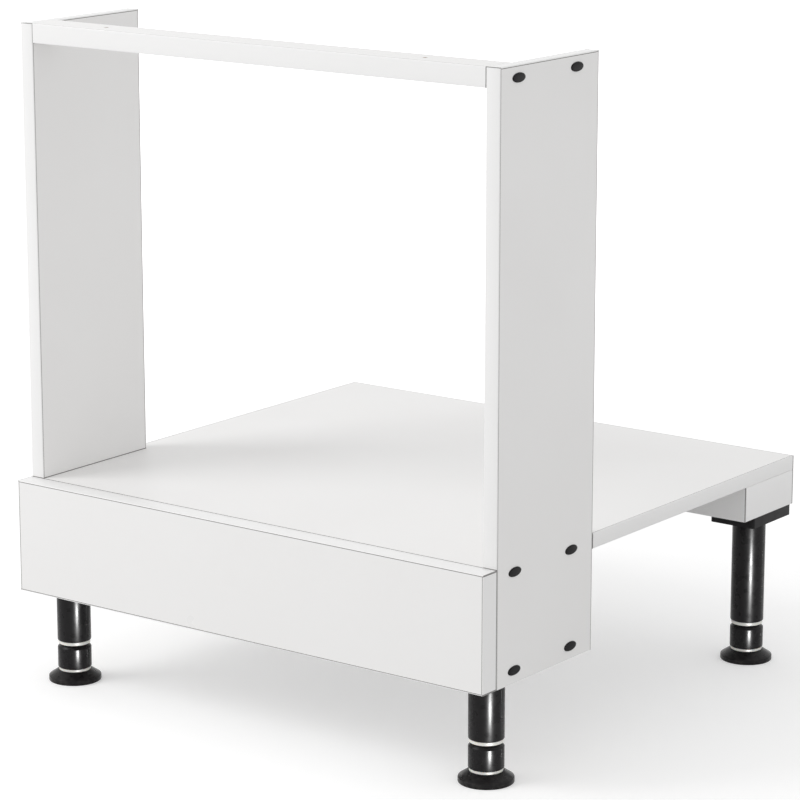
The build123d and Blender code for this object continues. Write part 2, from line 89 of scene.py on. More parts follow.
class Wire:
    """An output socket. Arithmetic on it adds Math nodes."""

    def __init__(self, graph, node, output):
        self.graph, self.node, self.socket = graph, node, node.outputs[output]

    def out(self, name):
        """Another output of the same node."""
        return Wire(self.graph, self.node, name)

    def __add__(self, other):
        return self.graph.maths("ADD", self, other)

    def __sub__(self, other):
        return self.graph.maths("SUBTRACT", self, other)

    def __rsub__(self, other):
        return self.graph.maths("SUBTRACT", other, self)

    def __mul__(self, other):
        return self.graph.maths("MULTIPLY", self, other)

    def __gt__(self, other):
        return self.graph.maths("GREATER_THAN", self, other)

    def __lt__(self, other):
        return self.graph.maths("LESS_THAN", self, other)

    __radd__ = __add__
    __rmul__ = __mul__


class Graph:
    """A node tree being built, for a material or for geometry."""

    def __init__(self, tree):
        self.tree = tree

    def node(self, kind, settings=None, sockets=None):
        """One node: its settings first, then a value or a link for each socket."""
        made = self.tree.nodes.new(kind)
        for name, value in (settings or {}).items():
            if name == "stops":
                self.set_stops(made.color_ramp, value)
            else:
                setattr(made, name, value)
        for key, value in (sockets or {}).items():
            self.feed(made.inputs[key], value)
        if not made.outputs:
            return made
        return Wire(self, made, next(i for i, socket in enumerate(made.outputs) if socket.enabled))

    def feed(self, socket, value):
        """Links a wire to an input socket, or sets the socket's value."""
        if isinstance(value, Wire):
            self.tree.links.new(value.socket, socket)
        else:
            socket.default_value = value

    def set_stops(self, ramp, stops):
        """The stops of a colour ramp, as (place, colour)."""
        while len(ramp.elements) < len(stops):
            ramp.elements.new(1.0)
        for element, (place, colour) in zip(ramp.elements, stops):
            element.position, element.color = place, colour

    def maths(self, operation, *values):
        """A Math node on one or more values or wires."""
        return self.node("ShaderNodeMath", {"operation": operation}, dict(enumerate(values)))

    def vector_maths(self, operation, *values):
        """A Vector Math node on one or more vectors or wires."""
        return self.node("ShaderNodeVectorMath", {"operation": operation}, dict(enumerate(values)))


print("Wire and Graph ready")

# %% [markdown]
# Every finish reads the piece's own Object coordinates, in metres, so a pattern has its real size.
# The helpers below are the few steps that most finishes share: noise of a real size, a soft step
# between two lengths, a mix of two colours, and a bump of a real height.

# %% Shader helpers


def rgb(value, warm=0.0):
    """A near-neutral colour: its level, and how much warmer its red is than its blue."""
    return (value + warm, value, value - warm, 1.0)


class Finish(Graph):
    """A material built on one Principled shader."""

    def __init__(self, name, **constants):
        self.material = bpy.data.materials.new(name)
        self.material.use_nodes = True
        super().__init__(self.material.node_tree)
        self.skin = self.tree.nodes["Principled BSDF"]
        self.set(**constants)
        self.place = self.node("ShaderNodeTexCoord").out("Object")

    def set(self, **sockets):
        """Values or links for sockets of the Principled shader."""
        for key, value in sockets.items():
            self.feed(self.skin.inputs[key.replace("_", " ")], value)

    def axis(self, index):
        """One coordinate of the piece, in metres."""
        return self.node("ShaderNodeSeparateXYZ", sockets={0: self.place}).out(index)

    def noise(self, size, detail=2.0, stretch=(1.0, 1.0, 1.0)):
        """Soft random values from 0 to 1, with features of that size in metres."""
        vector = self.node("ShaderNodeMapping", sockets={"Vector": self.place, "Scale": stretch})
        return self.node("ShaderNodeTexNoise",
                         sockets={"Vector": vector, "Scale": 1 / size, "Detail": detail})

    def step(self, value, start, stop):
        """0 up to start and 1 from stop, with a smooth rise between."""
        return self.node("ShaderNodeMapRange", {"interpolation_type": "SMOOTHSTEP"},
                         {"Value": value, "From Min": start, "From Max": stop})

    def blend(self, share, first, second):
        """The first colour where share is 0, the second where it is 1."""
        mix = self.node("ShaderNodeMix", {"data_type": "RGBA"})
        values = {"Factor_Float": share, "A_Color": first, "B_Color": second}
        for socket in mix.node.inputs:
            if socket.identifier in values:
                self.feed(socket, values[socket.identifier])
        return mix

    def near_box(self, box, reach):
        """1 within reach of a box, given by its lowest and highest corner, and 0 elsewhere."""
        low, high = (Vector(corner) for corner in box)
        offset = self.vector_maths("ABSOLUTE", self.vector_maths("SUBTRACT", self.place, (low + high) / 2))
        outside = self.vector_maths("SUBTRACT", offset, (high - low) / 2)
        sides = self.node("ShaderNodeSeparateXYZ", sockets={0: outside})
        farthest = self.maths("MAXIMUM", self.maths("MAXIMUM", sides, sides.out(Y)), sides.out(Z))
        return farthest < reach

    def bump(self, height, depth, under=None):
        """A bump whose height runs from 0 to depth, in metres."""
        sockets = {"Height": height, "Distance": depth, "Strength": 1.0}
        if under is not None:
            sockets["Normal"] = under
        return self.node("ShaderNodeBump", sockets=sockets)


print("Finish ready")

# %% [markdown]
# The boards are chipboard with a thin white melamine skin on both faces. The cut edges that carry
# no band show the chips, and so do the holes. One rule gives both: measured through the board's
# thickness, the first third of a millimetre under each face is white and the rest is chipboard. Next
# to a band runs a hairline of dark glue. A fine dark line of painted shade, for the shade in the joint,
# runs round the place where another board stands against this one, and along the shelf's open joint
# against the fascia. These lines draw the outline of each board. The white itself isn't flat: it has a
# fine pearl, and rubbed patches. The fascia is the front that is seen in the kitchen, so it has a finer,
# smoother satin.

# %% White board
SKIN = 0.35 * MM
CHIP = 1.9 * MM
DARK_LINE = 0.6 * MM
WHITE = rgb(0.86, 0.005)
GLUE_AND_JOINT_SHADE = (0.06, 0.055, 0.05, 1)
BOARD_SKIN = {"roughness": 0.37, "pearl": 0.012 * MM}
FRONT_SKIN = {"roughness": 0.27, "pearl": 0.004 * MM}


def white_board(board, thin, borders, touching, skin):
    """The finish of a board, from its thickness axis, its borders and the boxes of its neighbours."""
    finish = Finish(f"white {board}", Specular_IOR_Level=0.45)
    low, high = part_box(board)
    along = finish.axis(thin)
    depth = finish.maths("MINIMUM", along - low[thin], high[thin] - along)
    core = finish.step(depth, SKIN, SKIN + 0.05 * MM)

    cells = finish.node("ShaderNodeTexVoronoi", sockets={"Vector": finish.place, "Scale": 1 / CHIP})
    chips = finish.node("ShaderNodeValToRGB", {"stops": [
        (0.0, (0.20, 0.12, 0.06, 1)), (0.35, (0.42, 0.29, 0.16, 1)),
        (0.7, (0.56, 0.42, 0.26, 1)), (1.0, (0.68, 0.55, 0.38, 1))]},
        {0: finish.node("ShaderNodeSeparateXYZ", sockets={0: cells.out("Color")})})
    dust = finish.noise(0.5 * MM, 3.0)
    chips = finish.blend(dust * 0.5, chips, (0.60, 0.48, 0.33, 1))

    cloud = finish.noise(90 * MM, 3.0)
    white = finish.blend(cloud, WHITE, rgb(0.845, 0.008))
    # Dark lines: glue beside the bands, and painted shade along the open joints and round each neighbouring
    # board
    line = 0.0
    for axis, end in borders:
        place = finish.axis(axis)
        inside = place - low[axis] if end == 0 else high[axis] - place
        line = finish.maths("MAXIMUM", line, inside < DARK_LINE)
    # Painted shade: a dark line where another board stands against this one, for the shade in the joint
    for box in touching:
        line = finish.maths("MAXIMUM", line, finish.near_box(box, DARK_LINE))
    white = finish.blend(line * 0.9, white, GLUE_AND_JOINT_SHADE)
    finish.set(Base_Color=finish.blend(core, white, chips))

    rubbed = finish.noise(160 * MM, 4.0)
    finish.set(Roughness=finish.step(rubbed, 0.3, 0.7) * 0.10 + skin["roughness"] + core * 0.4)
    pearl = finish.bump(finish.noise(1.3 * MM, 1.0), skin["pearl"])
    finish.set(Normal=finish.bump(cells.out("Distance") * core, 0.25 * MM, pearl))
    return finish.material


# Each board: its thickness axis, and its borders with a band's glue line or an open joint's painted shade, as
# (axis, end)
BOARDS = {
    "left_side_panel": (X, [(Y, 0), (Y, 1), (Z, 1)]),
    "right_side_panel": (X, [(Y, 0), (Y, 1), (Z, 1)]),
    "top_front_rail": (Z, [(Y, 0), (Y, 1)]),
    "oven_shelf": (Z, [(X, 0), (X, 1), (Y, 0), (Y, 1)]),
    "bottom_board": (Z, [(Y, 1)]),
    "rear_bearer": (Z, [(X, 0), (X, 1), (Y, 0), (Y, 1)]),
    "front_fascia": (Y, [(X, 0), (X, 1), (Z, 0), (Z, 1)]),
}


def dress(node, material):
    """Gives a node of the frame its material."""
    mesh = frame["nodes"][node].data
    mesh.materials.clear()
    mesh.materials.append(material)


def touch(first, second):
    """Whether two boxes come within a dark line's width of each other."""
    return all(first[0][axis] < second[1][axis] + DARK_LINE and
               second[0][axis] < first[1][axis] + DARK_LINE for axis in (X, Y, Z))


def boxes_touching(board):
    """The boxes of the other boards that this one stands against."""
    others = [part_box(other) for other in BOARDS if other != board]
    return [box for box in others if touch(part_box(board), box)]


for board, (thin, borders) in BOARDS.items():
    touching = boxes_touching(board)
    skin = FRONT_SKIN if board == "front_fascia" else BOARD_SKIN
    dress(board, white_board(board, thin, borders, touching, skin))
    print(board, "stands against", len(touching), "boards")

# %% [markdown]
# Geometry Nodes make what follows a path. A tree is built here like a material, with named inputs.
# Its result is baked to a plain mesh, since the finished piece must stand without its modifier.

# %% Geometry tree helpers
KINDS = {float: "NodeSocketFloat", int: "NodeSocketInt", type(None): "NodeSocketObject"}


def put(name, data):
    """A new object in the scene, at the origin."""
    made = bpy.data.objects.new(name, data)
    bpy.context.scene.collection.objects.link(made)
    return made


def baked(piece):
    """The object's mesh as its modifiers leave it."""
    graph = bpy.context.evaluated_depsgraph_get()
    return bpy.data.meshes.new_from_object(piece.evaluated_get(graph), depsgraph=graph)


class Recipe(Graph):
    """A geometry tree with one input mesh, named inputs and a finish. None stands for an object."""

    def __init__(self, name, **inputs):
        super().__init__(bpy.data.node_groups.new(name, "GeometryNodeTree"))
        face = self.tree.interface
        face.new_socket("Geometry", in_out="INPUT", socket_type="NodeSocketGeometry")
        self.keys = {}
        for label, value in inputs.items():
            kind = KINDS[type(value)]
            self.keys[label] = face.new_socket(label, in_out="INPUT", socket_type=kind).identifier
        finish = face.new_socket("finish", in_out="INPUT", socket_type="NodeSocketMaterial")
        self.keys["finish"] = finish.identifier
        face.new_socket("Geometry", in_out="OUTPUT", socket_type="NodeSocketGeometry")
        self.defaults = inputs
        self.entry = self.node("NodeGroupInput")

    def given(self, label):
        """The wire of a named input."""
        return self.entry.out(label)

    def stored(self, label, kind):
        """The wire of an attribute that the input mesh carries."""
        return self.node("GeometryNodeInputNamedAttribute", {"data_type": kind}, {"Name": label})

    def end(self, geometry):
        """Closes the tree: real geometry with its material."""
        real = self.node("GeometryNodeRealizeInstances", sockets={"Geometry": geometry})
        dressed = self.node("GeometryNodeSetMaterial",
                            sockets={"Geometry": real, "Material": self.given("finish")})
        self.node("NodeGroupOutput", sockets={0: dressed})

    def make(self, name, mesh, **values):
        """Runs the tree on a mesh and returns the result as a plain object."""
        piece = put(name, mesh)
        modifier = piece.modifiers.new(name, "NODES")
        modifier.node_group = self.tree
        for label, value in {**self.defaults, **values}.items():
            modifier[self.keys[label]] = value
        result = baked(piece)
        result.name = name
        piece.modifiers.clear()
        piece.data = result
        return piece


def line_mesh(name, points, edges, **attributes):
    """A mesh of points and edges only, with attributes on its points."""
    mesh = bpy.data.meshes.new(name)
    mesh.from_pydata(points, edges, [])
    for label, values in attributes.items():
        if isinstance(values[0], tuple):
            layer = mesh.attributes.new(label, "FLOAT_VECTOR", "POINT")
            layer.data.foreach_set("vector", [number for vector in values for number in vector])
        else:
            mesh.attributes.new(label, "FLOAT", "POINT").data.foreach_set("value", values)
    return mesh


print("Recipe ready")

# %% [markdown]
# The edge bands are strips of plastic, 1 mm thick, glued on the boards' cut edges and trimmed flush.
# Their outer long edges are rounded, and each rounding catches a thin line of light or shade, which
# draws the outline of every board. A rounded profile swept along each edge says exactly that.

# %% Edge band recipe
BAND = 1.0 * MM
BAND_ROUNDING = 0.75 * MM


def band_recipe():
    """Sweeps a strip along each edge of the mesh, on the inner side of the edge."""
    recipe = Recipe("edge band", width=16 * MM, thickness=BAND, rounding=BAND_ROUNDING)
    path = recipe.node("GeometryNodeMeshToCurve", sockets={"Mesh": recipe.entry})
    outward = recipe.stored("outward", "FLOAT_VECTOR")
    path = recipe.node("GeometryNodeSetCurveNormal", {"mode": "FREE"}, {"Curve": path, "Normal": outward})
    path = recipe.node("GeometryNodeResampleCurve", {"mode": "LENGTH"}, {"Curve": path, "Length": 20 * MM})
    reach = recipe.node("GeometryNodeSplineParameter").out("Length")
    rest = recipe.node("GeometryNodeSplineLength") - reach
    for label, value in (("along", reach), ("from_end", recipe.maths("MINIMUM", reach, rest))):
        path = recipe.node("GeometryNodeStoreNamedAttribute", {"data_type": "FLOAT", "domain": "POINT"},
                           {"Geometry": path, "Name": label, "Value": value})
    profile = recipe.node("GeometryNodeCurvePrimitiveQuadrilateral",
                          sockets={"Width": recipe.given("thickness"), "Height": recipe.given("width")})
    side = recipe.node("ShaderNodeSeparateXYZ", sockets={0: recipe.node("GeometryNodeInputPosition")})
    profile = recipe.node("GeometryNodeFilletCurve", {"mode": "POLY"},
                          {"Curve": profile, "Count": 3, "Radius": (side > 0) * recipe.given("rounding")})
    inset = recipe.node("ShaderNodeCombineXYZ", sockets={"X": recipe.given("thickness") * -0.5})
    profile = recipe.node("GeometryNodeTransform", sockets={"Geometry": profile, "Translation": inset})
    strip = recipe.node("GeometryNodeCurveToMesh",
                        sockets={"Curve": path, "Profile Curve": profile, "Fill Caps": True})
    recipe.end(strip)
    return recipe


edge_band = band_recipe()
print("edge band recipe:", ", ".join(edge_band.keys))

# %% [markdown]
# The bands are white like the boards, but moulded plastic: smoother, a shade cooler, and marked
# across by the trimming cutter in faint ripples. The ripples follow the strip, so they read the
# length along it, which the recipe has stored. The recipe also stores how far the nearer end is, and
# the last 0.6 mm before a joint is darkened as painted shade, for the shade in the gap between two strips.
# The side panels' bands also get this painted shade where they meet the fascia and the shelf.

# %% Edge band finish
RIPPLE = 2.2 * MM


def band_finish(name, touching):
    """The finish of a band's plastic. touching lists the boxes where its joints get painted shade."""
    finish = Finish(name, Specular_IOR_Level=0.5)
    cloud = finish.noise(60 * MM, 2.0)
    white = finish.blend(cloud, rgb(0.865, 0.003), rgb(0.85, 0.004))
    # Painted shade: dark at the strip's ends and where it meets the boxes, for the shade in the gaps
    painted_crack_shade = finish.node("ShaderNodeAttribute", {"attribute_name": "from_end"}).out("Fac") < DARK_LINE
    for box in touching:
        painted_crack_shade = finish.maths("MAXIMUM", painted_crack_shade, finish.near_box(box, DARK_LINE))
    finish.set(Base_Color=finish.blend(painted_crack_shade * 0.8, white, GLUE_AND_JOINT_SHADE))
    along = finish.node("ShaderNodeAttribute", {"attribute_name": "along"}).out("Fac")
    ripple = finish.maths("SINE", along * (2 * math.pi / RIPPLE)) * 0.5 + 0.5
    finish.set(Roughness=finish.noise(25 * MM, 3.0) * 0.12 + 0.28)
    finish.set(Normal=finish.bump(ripple, 0.004 * MM, finish.bump(finish.noise(0.8 * MM), 0.006 * MM)))
    return finish.material


band_white = band_finish("white edge band", [])
panel_band_white = band_finish("white panel edge band", [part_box("fascia_edging"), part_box("oven_shelf")])
print(band_white.name, "and", panel_band_white.name)

# %% [markdown]
# Each strip is given as a line on the outer face of its board, at the middle of its width, with the
# direction that it faces. The lines come from the boxes of the frame's own bands. Where two strips
# meet at a corner, one runs through and the other stops against it.

# %% Strips of the edge bands


def strip_line(box, axis, end, run):
    """The two end points of a strip that fills a box, on the box's face at one end of an axis."""
    low, high = box
    start = (low + high) / 2
    start[axis] = box[end][axis]
    stop = start.copy()
    start[run], stop[run] = low[run], high[run]
    return [start, stop]


def cut(box, axis, end):
    """The part of a box within one band's thickness of its low (0) or high (1) end."""
    low, high = box[0].copy(), box[1].copy()
    if end:
        low[axis] = high[axis] - BAND
    else:
        high[axis] = low[axis] + BAND
    return low, high


def shortened(box, axis, ends):
    """The box without a band's thickness at the given ends."""
    low, high = box[0].copy(), box[1].copy()
    if 0 in ends:
        low[axis] += BAND
    if 1 in ends:
        high[axis] -= BAND
    return low, high


FACING = {(X, 0): (-1, 0, 0), (X, 1): (1, 0, 0), (Y, 0): (0, -1, 0), (Y, 1): (0, 1, 0),
          (Z, 0): (0, 0, -1), (Z, 1): (0, 0, 1)}

# Each node of bands: for every strip its axis and end, the axis it runs along, and the ends of that
# axis at which it stops against another strip
NEITHER, BOTH, HIGH = (), (0, 1), (1,)
STRIPS = {
    "left_panel_edging": [(Y, 0, Z, NEITHER), (Y, 1, Z, NEITHER), (Z, 1, Y, BOTH)],
    "right_panel_edging": [(Y, 0, Z, NEITHER), (Y, 1, Z, NEITHER), (Z, 1, Y, BOTH)],
    "rail_edging": [(Y, 0, X, NEITHER), (Y, 1, X, NEITHER)],
    "bottom_edging": [(Y, 1, X, NEITHER)],
    "fascia_edging": [(Z, 0, X, NEITHER), (Z, 1, X, NEITHER), (X, 0, Z, BOTH), (X, 1, Z, BOTH)],
    "bearer_edging": [(Y, 0, X, NEITHER), (Y, 1, X, NEITHER), (X, 0, Y, BOTH), (X, 1, Y, BOTH)],
    "shelf_edging": [(Y, 1, X, NEITHER), (X, 0, Y, HIGH), (X, 1, Y, HIGH)],
}

for node, strips in STRIPS.items():
    points, facings = [], []
    for axis, end, run, stops in strips:
        box = shortened(cut(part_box(node), axis, end), run, stops)
        points += strip_line(box, axis, end, run)
        facings += [FACING[axis, end]] * 2
        width_axis = X + Y + Z - axis - run
        width = box[1][width_axis] - box[0][width_axis]
    edges = [(i, i + 1) for i in range(0, len(points), 2)]
    lines = line_mesh(node, points, edges, outward=facings)
    finish = panel_band_white if "panel" in node else band_white
    bands = edge_band.make(node.replace("edging", "bands"), lines, width=width, finish=finish)
    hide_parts(node)
    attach(bands, "carcass")
    print(bands.name, len(strips), "strips,", round(width / MM, 1), "mm wide")

# %% [markdown]
# Every round part of a leg is turned: half of its outline goes once round the leg's axis. The
# outline is a line of points (distance from the axis, height), listed from the top down the outer
# wall, so that the faces point outwards. Each corner has its own small rounding, as moulded plastic
# has. Curve to Mesh with a circle as the path does the turning.

# %% Turning recipe
PATH_RADIUS = 10 * MM


def turning_recipe():
    """Turns an outline round the Z axis."""
    recipe = Recipe("turning", segments=96, corner_steps=3)
    outline = recipe.node("GeometryNodeMeshToCurve", sockets={"Mesh": recipe.entry})
    rounding = recipe.stored("rounding", "FLOAT")
    outline = recipe.node("GeometryNodeFilletCurve", {"mode": "POLY"},
                          {"Curve": outline, "Count": recipe.given("corner_steps"), "Radius": rounding,
                           "Limit Radius": True})
    inwards = recipe.node("ShaderNodeCombineXYZ", sockets={"X": -PATH_RADIUS})
    outline = recipe.node("GeometryNodeTransform",
                          sockets={"Geometry": outline, "Translation": inwards, "Scale": (1.0, -1.0, 1.0)})
    path = recipe.node("GeometryNodeCurvePrimitiveCircle", {"mode": "RADIUS"},
                       {"Resolution": recipe.given("segments"), "Radius": PATH_RADIUS})
    path = recipe.node("GeometryNodeSetCurveNormal", {"mode": "Z_UP"}, {"Curve": path})
    shell = recipe.node("GeometryNodeCurveToMesh", sockets={"Curve": path, "Profile Curve": outline})
    whole = recipe.node("GeometryNodeMergeByDistance", sockets={"Geometry": shell, "Distance": SAME_PLACE})
    recipe.end(whole)
    return recipe


turning = turning_recipe()


def turned(name, outline, closed, finish, **values):
    """A turned part round the Z axis. Each outline point is (radius, height, rounding) in mm."""
    points = [(r * MM, z * MM, 0.0) for r, z, _ in outline]
    edges = [(i, i + 1) for i in range(len(points) - 1)] + ([(len(points) - 1, 0)] if closed else [])
    lines = line_mesh(name, points, edges, rounding=[rounding * MM for _, _, rounding in outline])
    part = turning.make(name, lines, finish=finish, **values)
    mesh = part.data
    bpy.data.objects.remove(part)
    mesh.set_sharp_from_angle(angle=SHARP)
    return mesh


print("turning recipe:", ", ".join(turning.keys))

# %% [markdown]
# The legs are moulded from black plastic with a semi-gloss skin. Close up it shows a fine grain,
# a parting line where the two halves of the mould met, and a little pale dust low on the foot. The
# pattern has to stay on the leg's own axis, so each part carries its place before it was set under
# its leg as an attribute called "turned".

# %% Black plastic


def black_plastic(name, turned_part, roughness, gloss):
    """The finish of one kind of black part. Only turned parts have a parting line and dust."""
    finish = Finish(name, Specular_IOR_Level=gloss)
    if turned_part:
        finish.place = finish.node("ShaderNodeAttribute", {"attribute_name": "turned"}).out("Vector")
    cloud = finish.noise(14 * MM, 3.0)
    colour = finish.blend(cloud, (0.006, 0.0055, 0.006, 1), (0.011, 0.010, 0.011, 1))
    grain = finish.noise(0.35 * MM, 1.0)
    relief = finish.bump(grain, 0.008 * MM)
    if turned_part:
        height = finish.axis(Z)
        low_dust = finish.step(height, 16 * MM, 2 * MM) * finish.step(finish.noise(5 * MM, 5.0), 0.35, 0.75)
        colour = finish.blend(low_dust * 0.06, colour, (0.30, 0.28, 0.25, 1))
        seam = finish.step(finish.maths("ABSOLUTE", finish.axis(Y)), 0.22 * MM, 0.10 * MM)
        relief = finish.bump(seam, 0.10 * MM, relief)
    finish.set(Base_Color=colour, Normal=relief)
    finish.set(Roughness=finish.step(finish.noise(9 * MM, 4.0), 0.3, 0.7) * 0.08 + (roughness - 0.04))
    return finish.material


leg_black = black_plastic("black plastic turned", True, 0.29, 0.16)
plate_black = black_plastic("black plastic plates", False, 0.40, 0.16)
cap_black = black_plastic("black plastic caps", False, 0.50, 0.15)
print(leg_black.name, plate_black.name, cap_black.name)

# %% [markdown]
# The slip rings are unpigmented nylon: pale, slightly yellow and waxy. Light enters it a little, so
# it gets a soft mottled colour rather than a hard white.

# %% Pale nylon


def nylon():
    """The finish of the slip rings."""
    finish = Finish("pale nylon", Specular_IOR_Level=0.5, Subsurface_Weight=0.25,
                    Subsurface_Radius=(1.0, 0.8, 0.6), Subsurface_Scale=0.6 * MM)
    finish.place = finish.node("ShaderNodeAttribute", {"attribute_name": "turned"}).out("Vector")
    mottle = finish.noise(4 * MM, 4.0)
    finish.set(Base_Color=finish.blend(mottle, (0.90, 0.89, 0.85, 1), (0.85, 0.84, 0.79, 1)))
    finish.set(Roughness=mottle * 0.15 + 0.36)
    finish.set(Normal=finish.bump(finish.noise(0.5 * MM, 2.0), 0.008 * MM))
    return finish.material


ring_nylon = nylon()
print(ring_nylon.name)

# %% [markdown]
# The legs stand where the frame has them. Their axes are the middles of the frame's own feet, and a
# helper sets a copy of a turned mesh there, after it has kept the unmoved place as an attribute.

# %% Setting turned parts under the legs
AXES = {}
for leg in LEGS:
    low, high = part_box(f"{leg}_leg_foot")
    AXES[leg] = Vector(((low[X] + high[X]) / 2, (low[Y] + high[Y]) / 2, 0.0))
print({leg: tuple(round(c / MM, 1) for c in axis) for leg, axis in AXES.items()})


def keep_place(mesh):
    """Stores the place of every vertex as the attribute "turned"."""
    places = [c for vertex in mesh.vertices for c in vertex.co]
    mesh.attributes.new("turned", "FLOAT_VECTOR", "POINT").data.foreach_set("vector", places)


def set_at(name, mesh, axis):
    """An object with a copy of the mesh moved onto a leg's axis."""
    copy = mesh.copy()
    copy.name = name
    copy.transform(Matrix.Translation(axis))
    return put(name, copy)


# %% [markdown]
# The tube, the collar and the slip rings hollow out round the spindle, so their outlines are closed
# loops. The collar is the nut that a hand turns. Its neck snaps through the tube's lower flange. All
# heights start from the frame's own pieces, and the radii are those of the fits between them.

# %% Sizes of the legs, in mm


def levels(node):
    """The lowest and the highest level of a frame node."""
    low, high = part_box(node)
    return round(low[Z] / MM, 2), round(high[Z] / MM, 2)


TUBE_TOPS = {row: levels(f"{row}_left_leg_tube")[1] for row in ROWS}
TUBE_UNDER = levels("front_left_leg_tube")[0]
COLLAR_UNDER, NECK_TOP = levels("front_left_leg_collar")
TUBE_RING_UNDER = levels("tube_slip_rings")[0]
FOOT_RING_UNDER, FOOT_RING_TOP = levels("front_left_foot_ring")
SPINDLE_TOP = levels("front_left_leg_foot")[1]

LEG_RADIUS, TUBE_BORE = 18.0, 15.0
RING_RADIUS, FOOT_RING_BORE = 17.0, 11.0
NECK_RADIUS, NECK_FIT = 12.0, 0.08
LIP_OUT, LIP_HEIGHT = 1.4, 2.4
FLANGE, GUIDE_UP, GUIDE_HEIGHT, GUIDE_BORE = 4.0, 10.0, 5.0, 10.3
COLLAR_PLAY, COLLAR_CHAMFER = 0.3, 4.0
SPINDLE_RADIUS, SPINDLE_FIT = 10.0, 0.08
print("tubes from", TUBE_UNDER, "up to", TUBE_TOPS, "and spindles up to", SPINDLE_TOP)

# %% Tubes, collars and slip rings
NECK_BORE = NECK_RADIUS + NECK_FIT
COLLAR_BORE = SPINDLE_RADIUS + SPINDLE_FIT


def tube_outline(top):
    """The tube with its lower flange, and the guide inside that keeps the spindle from turning."""
    flange_top = TUBE_UNDER + FLANGE
    guide_under = TUBE_UNDER + GUIDE_UP
    guide_top = guide_under + GUIDE_HEIGHT
    return [(TUBE_BORE, top, 0.2), (LEG_RADIUS, top, 0.2), (LEG_RADIUS, TUBE_UNDER, 0.7),
            (NECK_BORE, TUBE_UNDER, 0.3), (NECK_BORE, flange_top, 0.3), (TUBE_BORE, flange_top, 0.5),
            (TUBE_BORE, guide_under, 0.0), (GUIDE_BORE, guide_under, 0.3),
            (GUIDE_BORE, guide_top, 0.3), (TUBE_BORE, guide_top, 0.5)]


def collar_outline():
    """The nut with its neck, and the lip on the neck that snaps over the tube's flange."""
    top = TUBE_RING_UNDER - COLLAR_PLAY
    lip_under = NECK_TOP - LIP_HEIGHT
    return [(COLLAR_BORE, NECK_TOP, 0.2), (NECK_RADIUS, NECK_TOP, 0.2),
            (NECK_RADIUS + LIP_OUT, lip_under, 0.3), (NECK_RADIUS, lip_under, 0.1),
            (NECK_RADIUS, top, 0.3), (LEG_RADIUS - COLLAR_CHAMFER, top, 0.6),
            (LEG_RADIUS, top - COLLAR_CHAMFER, 1.2), (LEG_RADIUS, COLLAR_UNDER, 0.7),
            (COLLAR_BORE, COLLAR_UNDER, 0.3)]


def ring_outline(bore, under, top):
    """A flat ring with its outer corners rounded."""
    return [(bore, top, 0.2), (RING_RADIUS, top, 0.5), (RING_RADIUS, under, 0.5), (bore, under, 0.2)]


TUBES = {row: turned(f"{row} tube", tube_outline(TUBE_TOPS[row]), True, leg_black) for row in ROWS}
collar = turned("collar", collar_outline(), True, leg_black)
tube_ring = turned("tube ring", ring_outline(NECK_BORE, TUBE_RING_UNDER, TUBE_UNDER), True, ring_nylon,
                   segments=64)
foot_ring = turned("foot ring", ring_outline(FOOT_RING_BORE, FOOT_RING_UNDER, FOOT_RING_TOP), True,
                   ring_nylon, segments=64)
for mesh in [*TUBES.values(), collar, tube_ring, foot_ring]:
    keep_place(mesh)
    print(mesh.name, len(mesh.polygons), "faces")

# %% [markdown]
# The spindle carries a real thread. A helix can't be turned, so its skin is laid row by row: each
# row climbs by one pitch in a turn, and the row heights follow the thread's crest and root. Beyond
# the ends the rows are pressed flat, and two sides are pressed to the spindle's flats.

# %% Threaded spindle
PITCH = 4.0
CORE, HALF_FLATS = 8.7, 8.2
SPINDLE_FOOT = FOOT_RING_UNDER - 0.5
THREAD_FREE = 1.0
TURN_STEPS = 48
SPARE_TURNS = 2
THREAD = [(0.2, CORE), (1.4, SPINDLE_RADIUS), (2.6, SPINDLE_RADIUS), (3.8, CORE)]


def spindle_mesh():
    """The spindle round the Z axis, with a right-hand thread and two flats, open at both ends."""
    built = bmesh.new()
    rows = []
    turns = int((SPINDLE_TOP - SPINDLE_FOOT) / PITCH) + 1
    for turn in range(-SPARE_TURNS, turns + SPARE_TURNS):
        for rise, radius in THREAD:
            row = []
            for step in range(TURN_STEPS):
                angle = 2 * math.pi * step / TURN_STEPS
                z = SPINDLE_FOOT + (turn + step / TURN_STEPS) * PITCH + rise
                threaded = SPINDLE_FOOT + THREAD_FREE < z < SPINDLE_TOP - THREAD_FREE
                r = radius if threaded else CORE
                x = max(-HALF_FLATS, min(HALF_FLATS, r * math.cos(angle)))
                z = max(SPINDLE_FOOT, min(SPINDLE_TOP, z))
                row.append(built.verts.new((x * MM, r * math.sin(angle) * MM, z * MM)))
            rows.append(row)
    climb = len(THREAD)
    for i in range(len(rows) - climb - 1):
        for step in range(TURN_STEPS):
            last = step == TURN_STEPS - 1
            right = rows[i + climb][0] if last else rows[i][step + 1]
            above = rows[i + climb + 1][0] if last else rows[i + 1][step + 1]
            built.faces.new((rows[i][step], right, above, rows[i + 1][step]))
    bmesh.ops.remove_doubles(built, verts=built.verts, dist=SAME_PLACE)
    loose = [v for v in built.verts if not v.link_faces]
    bmesh.ops.delete(built, geom=loose, context="VERTS")
    return built


def finished_mesh(built, name, finish):
    """Writes a bmesh to a smooth-shaded mesh with sharp corners."""
    mesh = bpy.data.meshes.new(name)
    built.to_mesh(mesh)
    built.free()
    mesh.materials.append(finish)
    mesh.shade_smooth()
    mesh.set_sharp_from_angle(angle=SHARP)
    return mesh


built = spindle_mesh()
open_edges = [edge for edge in built.edges if edge.is_boundary]
bmesh.ops.holes_fill(built, edges=open_edges)
print("spindle:", len(built.faces), "faces,", len(open_edges), "open edges filled")
spindle = finished_mesh(built, "spindle", leg_black)

# %% [markdown]
# The foot is one moulding: a disc with a sloping top, a rounded rim and a recess below, and the
# spindle that stands on it. The disc is turned. A Boolean union joins the two into one closed skin.

